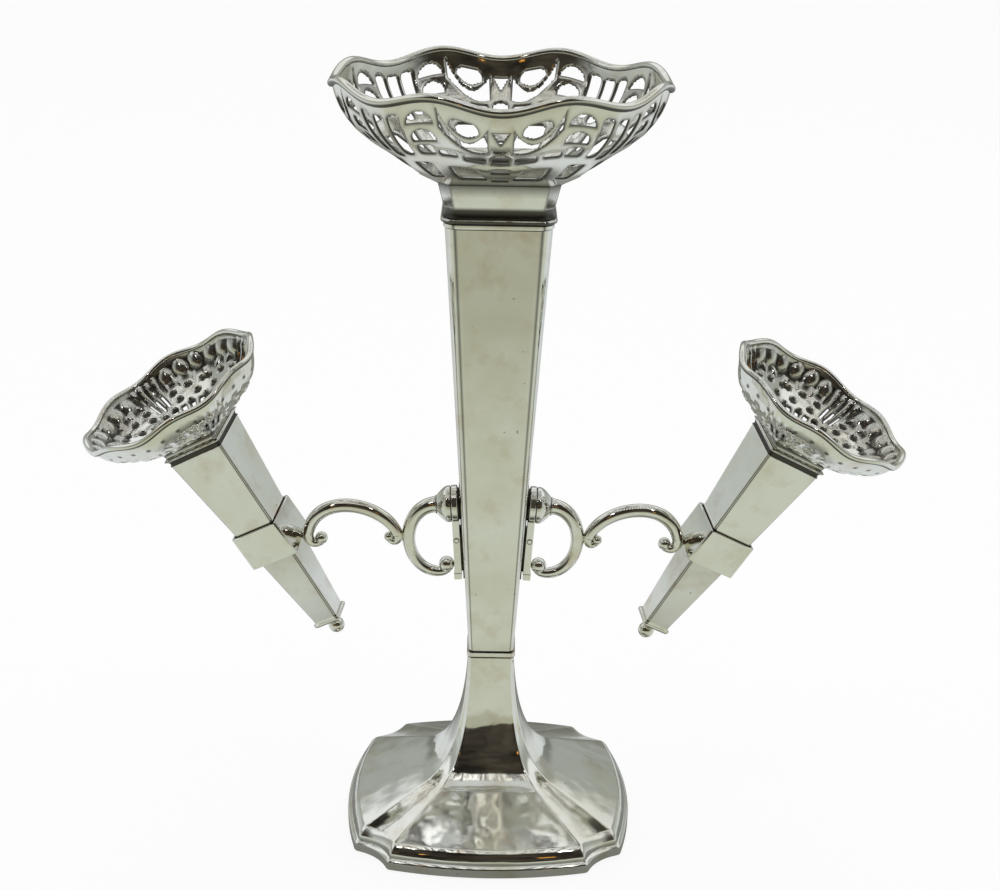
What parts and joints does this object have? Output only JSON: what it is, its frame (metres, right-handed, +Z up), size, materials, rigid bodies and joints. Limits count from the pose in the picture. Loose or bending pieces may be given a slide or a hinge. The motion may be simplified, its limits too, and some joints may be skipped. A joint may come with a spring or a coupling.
{
  "type": "epergne",
  "caption": "Plated silver table epergne: square tapering column on a hollow square foot, pierced waved bowl on top, and lift-off scroll arms that hold tilted pierced flower vases.",
  "frame": {"origin": "on the table, under the middle of the foot", "axes": "+X from the column to the right-hand vase, -Y to the front, +Z up the column"},
  "size_m": [0.2942, 0.1176, 0.2833],
  "materials": {
    "silver_plate": "polished electroplated silver, lightly worn",
    "fixings": "plated brass, dull"
  },
  "bodies": {
    "stand": {"foot": "silver_plate", "foot_rim": "silver_plate", "column_bead": "silver_plate", "column": "silver_plate", "column_plug": "fixings", "tie_stud": "fixings", "tie_washer": "fixings", "tie_nut": "fixings", "column_moulding": "silver_plate", "centre_bowl": "silver_plate", "centre_rim_wire": "silver_plate", "rail_plate_left": "silver_plate", "arm_rail_left": "silver_plate", "rail_plate_right": "silver_plate", "arm_rail_right": "silver_plate"},
    "arm_left": {"slide_bar_left": "silver_plate", "bar_tip_left": "silver_plate", "lock_screw_left": "fixings", "ferrule_left": "silver_plate", "inner_scroll_left": "silver_plate", "outer_scroll_left": "silver_plate", "sleeve_left": "silver_plate"},
    "arm_right": {"slide_bar_right": "silver_plate", "bar_tip_right": "silver_plate", "lock_screw_right": "fixings", "ferrule_right": "silver_plate", "inner_scroll_right": "silver_plate", "outer_scroll_right": "silver_plate", "sleeve_right": "silver_plate"},
    "vase_left": {"vase_finial_left": "silver_plate", "vase_cap_left": "silver_plate", "vase_tube_left": "silver_plate", "vase_moulding_left": "silver_plate", "vase_bowl_left": "silver_plate", "vase_rim_wire_left": "silver_plate"},
    "vase_right": {"vase_finial_right": "silver_plate", "vase_cap_right": "silver_plate", "vase_tube_right": "silver_plate", "vase_moulding_right": "silver_plate", "vase_bowl_right": "silver_plate", "vase_rim_wire_right": "silver_plate"}
  },
  "joints": [
    {"name": "arm_left_lift", "type": "slide", "parent": "stand", "child": "arm_left", "axis": [-0.0627, 0, 0.998], "range_m": [0, 0.03]},
    {"name": "arm_right_lift", "type": "slide", "parent": "stand", "child": "arm_right", "axis": [0.0627, 0, 0.998], "range_m": [0, 0.03]},
    {"name": "vase_left_lift", "type": "slide", "parent": "arm_left", "child": "vase_left", "axis": [-0.5122, -0.1045, 0.8525], "range_m": [0, 0.07]},
    {"name": "vase_right_lift", "type": "slide", "parent": "arm_right", "child": "vase_right", "axis": [0.5122, -0.1045, 0.8525], "range_m": [0, 0.07]}
  ]
}
